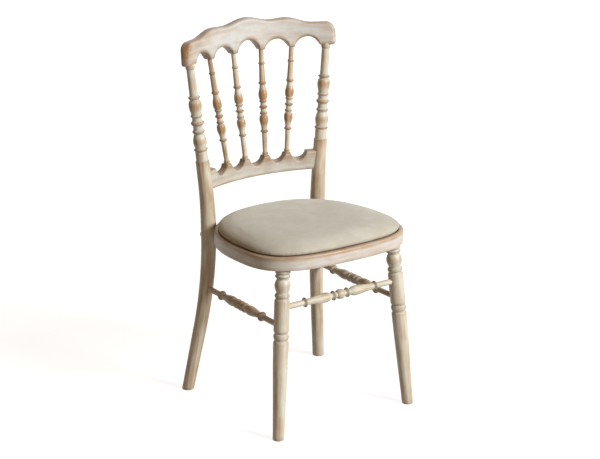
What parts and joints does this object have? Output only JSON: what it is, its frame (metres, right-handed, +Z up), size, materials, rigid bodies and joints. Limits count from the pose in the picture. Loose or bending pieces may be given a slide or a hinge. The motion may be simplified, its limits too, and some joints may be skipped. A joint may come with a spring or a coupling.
{
  "type": "napoleon chair",
  "caption": "Napoleon chair: turned, limewashed wood frame with a bowed spindle back between scalloped rails, and a bell-shaped seat ring that holds a loose drop-in fabric pad.",
  "frame": {"origin": "on the floor, under the middle of the chair's overall box", "axes": "+Z up; -Y to the chair's front, the way a sitter faces; +X to the right as seen from the front"},
  "size_m": [0.4506, 0.4599, 0.9268],
  "materials": {
    "limewashed_beech": "limewashed, satin",
    "bolt_steel": "plated, satin",
    "insert_brass": "plain",
    "pad_fabric": "short suede-like nap",
    "pad_foam": "open-cell foam",
    "pad_plywood": "bare plywood"
  },
  "bodies": {
    "frame": {"rear_leg_left": "limewashed_beech", "rear_leg_right": "limewashed_beech", "front_leg_left": "limewashed_beech", "front_leg_right": "limewashed_beech", "side_stretcher_left": "limewashed_beech", "side_stretcher_right": "limewashed_beech", "front_stretcher": "limewashed_beech", "crest_rail": "limewashed_beech", "lower_back_rail": "limewashed_beech", "back_spindle_1": "limewashed_beech", "back_spindle_2": "limewashed_beech", "back_spindle_3": "limewashed_beech", "back_spindle_4": "limewashed_beech", "seat_ring": "limewashed_beech", "leg_bolt_left": "bolt_steel", "leg_bolt_right": "bolt_steel", "bolt_insert_left": "insert_brass", "bolt_insert_right": "insert_brass"},
    "seat_pad": {"pad_cover": "pad_fabric", "pad_foam": "pad_foam", "pad_board": "pad_plywood"}
  },
  "joints": [
    {"name": "seat_pad_lift", "type": "slide", "parent": "frame", "child": "seat_pad", "axis": [0, 0, 1], "range_m": [0, 0.045]}
  ]
}
